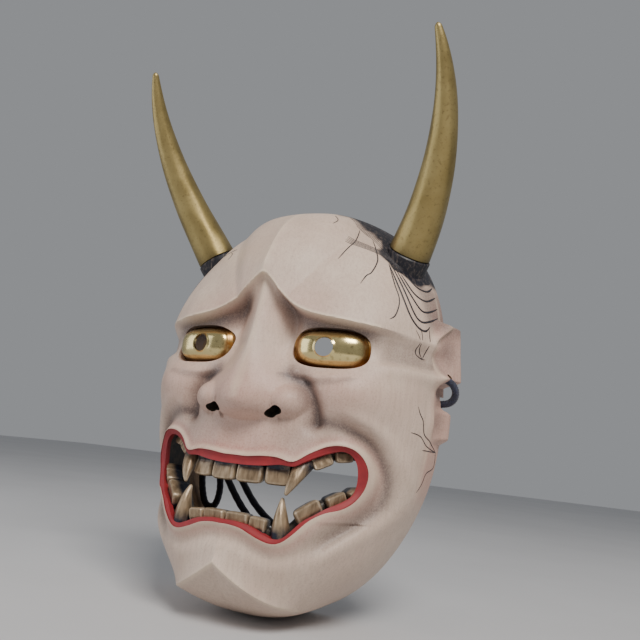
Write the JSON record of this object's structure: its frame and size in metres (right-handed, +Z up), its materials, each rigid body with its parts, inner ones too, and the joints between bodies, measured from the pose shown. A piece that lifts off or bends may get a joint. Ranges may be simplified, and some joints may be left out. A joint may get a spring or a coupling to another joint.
{
  "type": "noh mask",
  "caption": "Horned demon face mask in painted wood with gilt eye plates, fangs, plug-in curved horns and a tying cord through ear holes.",
  "frame": {"origin": "middle of the flat back rim's plane, level with the two cord holes at the ears", "axes": "+Z up to the crown, -Y the way the face looks, +X the mask's own left, which is the viewer's right"},
  "size_m": [0.169, 0.0738, 0.2689],
  "materials": {
    "painted_wood": "matt cream and pink paint over carved wood",
    "gilt_eye": "polished gilt metal, tarnished at the edge",
    "aged_bronze": "dull gilt with a dark patina",
    "gilt_horn": "satin antique gold over wood",
    "navy_cord": "braided cord"
  },
  "bodies": {
    "mask": {"mask_shell": "painted_wood", "eye_plate_left": "gilt_eye", "eye_plate_right": "gilt_eye", "upper_incisor_inner_left": "aged_bronze", "upper_incisor_inner_right": "aged_bronze", "upper_incisor_outer_left": "aged_bronze", "upper_incisor_outer_right": "aged_bronze", "upper_fang_left": "aged_bronze", "upper_fang_right": "aged_bronze", "upper_molar_front_left": "aged_bronze", "upper_molar_front_right": "aged_bronze", "upper_molar_back_left": "aged_bronze", "upper_molar_back_right": "aged_bronze", "lower_incisor_inner_left": "aged_bronze", "lower_incisor_inner_right": "aged_bronze", "lower_incisor_outer_left": "aged_bronze", "lower_incisor_outer_right": "aged_bronze", "lower_fang_left": "aged_bronze", "lower_fang_right": "aged_bronze", "lower_molar_front_left": "aged_bronze", "lower_molar_front_right": "aged_bronze", "lower_molar_middle_left": "aged_bronze", "lower_molar_middle_right": "aged_bronze", "lower_molar_back_left": "aged_bronze", "lower_molar_back_right": "aged_bronze", "wearing_cord": "navy_cord", "cord_knot": "navy_cord"},
    "horn_left": {"horn_left": "gilt_horn"},
    "horn_right": {"horn_right": "gilt_horn"}
  },
  "joints": [
    {"name": "horn_left_pull", "type": "slide", "parent": "mask", "child": "horn_left", "axis": [0.4507, -0.3525, 0.8201], "range_m": [0, 0.016]},
    {"name": "horn_right_pull", "type": "slide", "parent": "mask", "child": "horn_right", "axis": [-0.4507, -0.3525, 0.8201], "range_m": [0, 0.016]}
  ]
}
